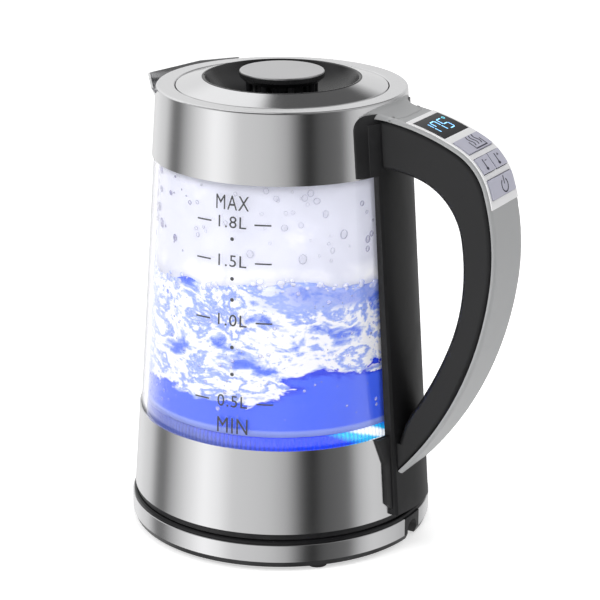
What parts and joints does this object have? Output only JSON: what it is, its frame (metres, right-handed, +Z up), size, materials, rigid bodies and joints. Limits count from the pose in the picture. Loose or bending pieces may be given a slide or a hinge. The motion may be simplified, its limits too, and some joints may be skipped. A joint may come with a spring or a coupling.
{
  "type": "electric kettle",
  "caption": "Cordless electric kettle: tapered glass jug with steel skirt and collar, V spout, lift-out lid with knob, arched handle with display and keys, on a round swivelling base.",
  "frame": {"origin": "the jug's axis at the surface the base stands on", "axes": "+Z up, +X towards the handle and the cord outlet, -X towards the spout; mirror plane XZ"},
  "size_m": [0.2059, 0.156, 0.2376],
  "materials": {
    "black_plastic": "satin moulded black",
    "brushed_steel": "brushed round the body",
    "polished_steel": "satin to polished",
    "silver_cover": "satin silver",
    "key_plastic": "satin silver with dark printed symbols",
    "glass": "clear, lightly fogged at the top",
    "window_black": "gloss black lens",
    "display_parts": "dark module with lit blue digits",
    "rubber": "matte",
    "silicone": "milky translucent silicone",
    "light_plastic": "clear ribbed light guide, lit blue",
    "leds": "blue lamps",
    "circuit_board": "green circuit board",
    "switches": "small black push switches",
    "inner_plastic": "pale heat-resistant plastic",
    "screw_steel": "zinc-plated",
    "contact_brass": "bright",
    "spreader_aluminium": "plain",
    "element_metal": "oxidised sheath"
  },
  "bodies": {
    "base": {"base_tray": "black_plastic", "base_shell": "black_plastic", "base_band": "brushed_steel", "cord_outlet": "black_plastic", "cord_clamp": "inner_plastic", "clamp_screws": "screw_steel", "base_feet": "rubber", "base_grip_ring": "rubber", "base_socket": "black_plastic", "socket_ring_contact": "contact_brass", "socket_centre_contact": "contact_brass"},
    "swivel_collar": {"contact_collar": "black_plastic"},
    "jug": {"jug_bottom_cover": "black_plastic", "jug_connector": "black_plastic", "liner_ring": "black_plastic", "upper_saddle": "black_plastic", "lower_saddle": "black_plastic", "handle_strip": "black_plastic", "handle_grip": "black_plastic", "jug_skirt": "brushed_steel", "top_collar": "brushed_steel", "spout": "brushed_steel", "heating_plate": "polished_steel", "strainer": "polished_steel", "temperature_sensor": "polished_steel", "handle_cover": "silver_cover", "control_panel": "silver_cover", "glass_jug": "glass", "display_window": "window_black", "display_module": "display_parts", "glass_foot_seal": "silicone", "glass_head_seal": "silicone", "ribbed_light_ring": "light_plastic", "light_guide": "light_plastic", "leds": "leds", "led_board": "circuit_board", "control_board": "circuit_board", "key_switches": "switches", "plate_ring": "inner_plastic", "plate_posts": "inner_plastic", "bottom_screws": "screw_steel", "connector_pin": "contact_brass", "connector_ring": "contact_brass", "heat_spreader": "spreader_aluminium", "heating_element": "element_metal"},
    "lid": {"lid_steel_ring": "polished_steel", "lid_bowl": "black_plastic", "lid_body": "black_plastic", "lid_inner_plate": "polished_steel", "lid_boss": "black_plastic", "lid_seal": "silicone", "knob_body": "black_plastic", "knob_posts": "black_plastic", "knob_cap": "polished_steel"},
    "keep_warm_key": {"keep_warm_button": "key_plastic"},
    "temp_down_key": {"temp_down_button": "key_plastic"},
    "temp_up_key": {"temp_up_button": "key_plastic"},
    "power_key": {"power_button": "key_plastic"}
  },
  "joints": [
    {"name": "jug_swivel", "type": "hinge", "parent": "base", "child": "swivel_collar", "pos_m": [0, 0, 0], "axis": [0, 0, 1], "continuous": true},
    {"name": "jug_lift", "type": "slide", "parent": "swivel_collar", "child": "jug", "axis": [0, 0, 1], "range_m": [0, 0.06]},
    {"name": "lid_lift", "type": "slide", "parent": "jug", "child": "lid", "axis": [0, 0, 1], "range_m": [0, 0.06]},
    {"name": "keep_warm_press", "type": "slide", "parent": "jug", "child": "keep_warm_key", "axis": [-0.454, 0, -0.891], "range_m": [0, 0.0004], "stiffness_N_per_m": 400, "springref_m": -0.0004},
    {"name": "temp_down_press", "type": "slide", "parent": "jug", "child": "temp_down_key", "axis": [-0.7604, 0, -0.6494], "range_m": [0, 0.0004], "stiffness_N_per_m": 400, "springref_m": -0.0004},
    {"name": "temp_up_press", "type": "slide", "parent": "jug", "child": "temp_up_key", "axis": [-0.7604, 0, -0.6494], "range_m": [0, 0.0004], "stiffness_N_per_m": 400, "springref_m": -0.0004},
    {"name": "power_press", "type": "slide", "parent": "jug", "child": "power_key", "axis": [-0.9511, 0, -0.309], "range_m": [0, 0.0004], "stiffness_N_per_m": 400, "springref_m": -0.0004}
  ]
}
